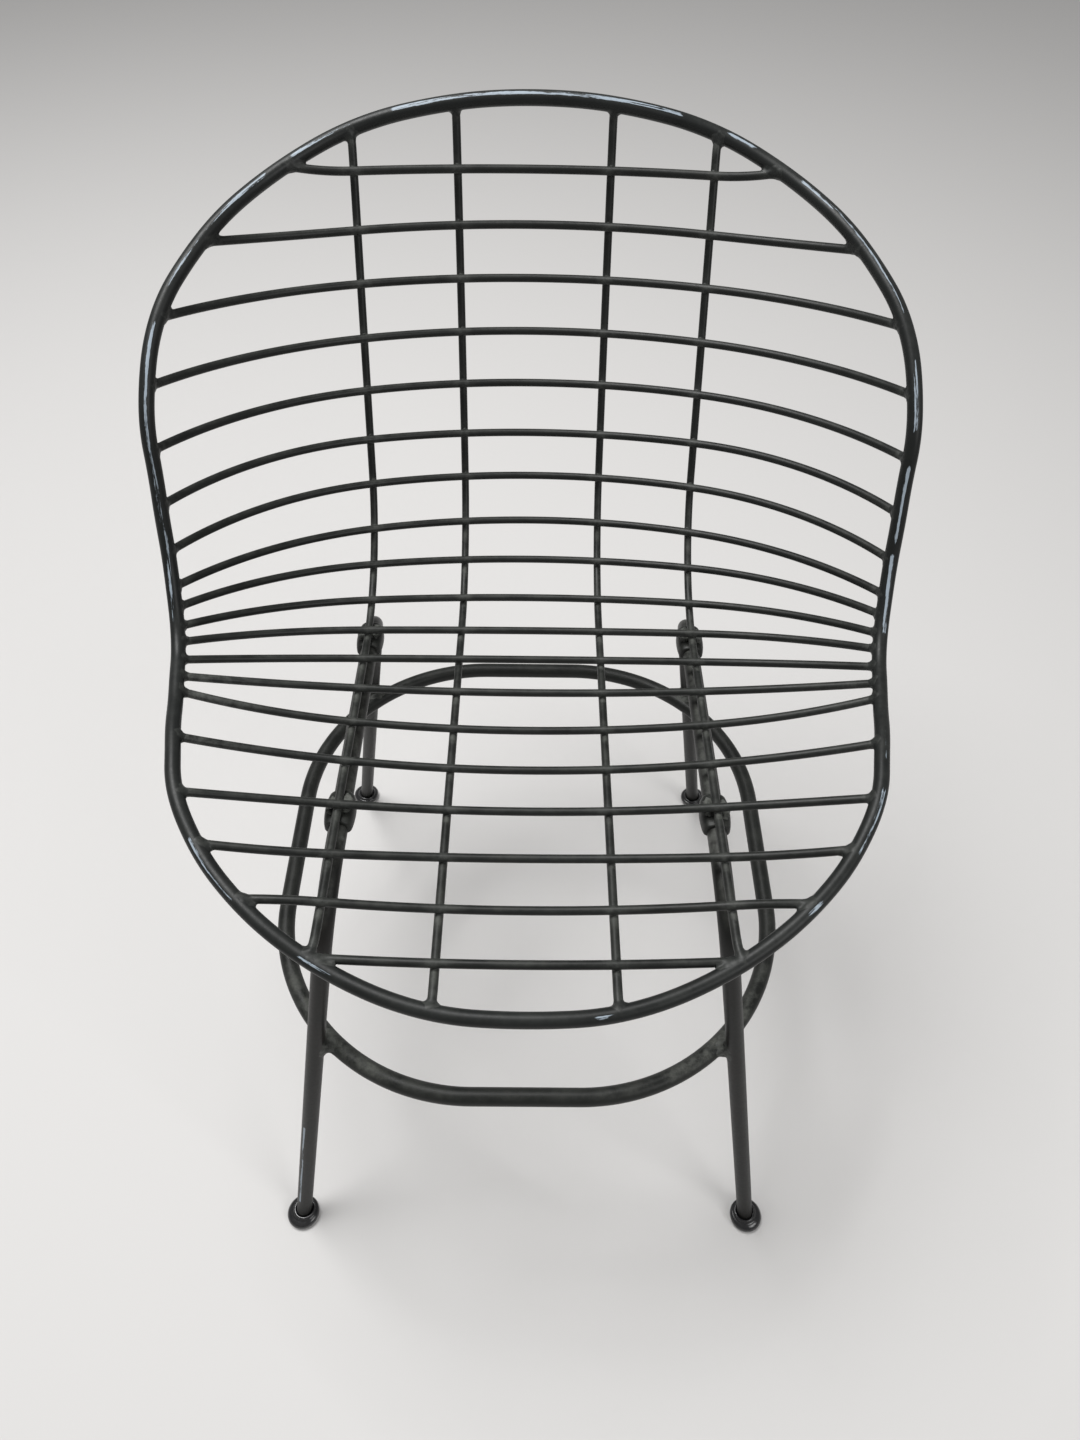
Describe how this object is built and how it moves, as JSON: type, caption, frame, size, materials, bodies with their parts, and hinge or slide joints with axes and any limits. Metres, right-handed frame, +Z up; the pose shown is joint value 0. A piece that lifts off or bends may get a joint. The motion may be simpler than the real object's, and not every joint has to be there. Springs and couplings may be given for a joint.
{
  "type": "wrought iron chair",
  "caption": "Dining chair with a bucket seat of bowed metal wires inside a closed rod rim, on bent tube side frames joined by a ring stretcher.",
  "frame": {"origin": "on the floor, under the middle of the chair's bounding box", "axes": "+Z up, -Y to the front of the seat, +X to the right as seen in the picture; the chair mirrors across X = 0"},
  "size_m": [0.5584, 0.5999, 0.7694],
  "materials": {
    "frame_paint": "satin charcoal paint, dusty on top, worn at the welds",
    "rim_paint": "satin charcoal paint, worn to bright steel along its outer crest",
    "wire_paint": "satin charcoal paint with small chips",
    "glide_plastic": "glossy black"
  },
  "bodies": {
    "root": {"cross_wire_01": "wire_paint", "cross_wire_02": "wire_paint", "cross_wire_03": "wire_paint", "cross_wire_04": "wire_paint", "cross_wire_05": "wire_paint", "cross_wire_06": "wire_paint", "cross_wire_07": "wire_paint", "cross_wire_08": "wire_paint", "cross_wire_09": "wire_paint", "cross_wire_10": "wire_paint", "cross_wire_11": "wire_paint", "cross_wire_12": "wire_paint", "cross_wire_13": "wire_paint", "cross_wire_14": "wire_paint", "cross_wire_15": "wire_paint", "cross_wire_16": "wire_paint", "cross_wire_17": "wire_paint", "cross_wire_18": "wire_paint", "cross_wire_19": "wire_paint", "glide_front_left": "glide_plastic", "glide_front_right": "glide_plastic", "glide_rear_left": "glide_plastic", "glide_rear_right": "glide_plastic", "long_wire_inner_left": "wire_paint", "long_wire_inner_right": "wire_paint", "long_wire_outer_left": "wire_paint", "long_wire_outer_right": "wire_paint", "ring_stretcher": "frame_paint", "saddle_front_left": "frame_paint", "saddle_front_right": "frame_paint", "saddle_rear_left": "frame_paint", "saddle_rear_right": "frame_paint", "seat_rim": "rim_paint", "side_frame_left": "frame_paint", "side_frame_right": "frame_paint"}
  },
  "joints": []
}
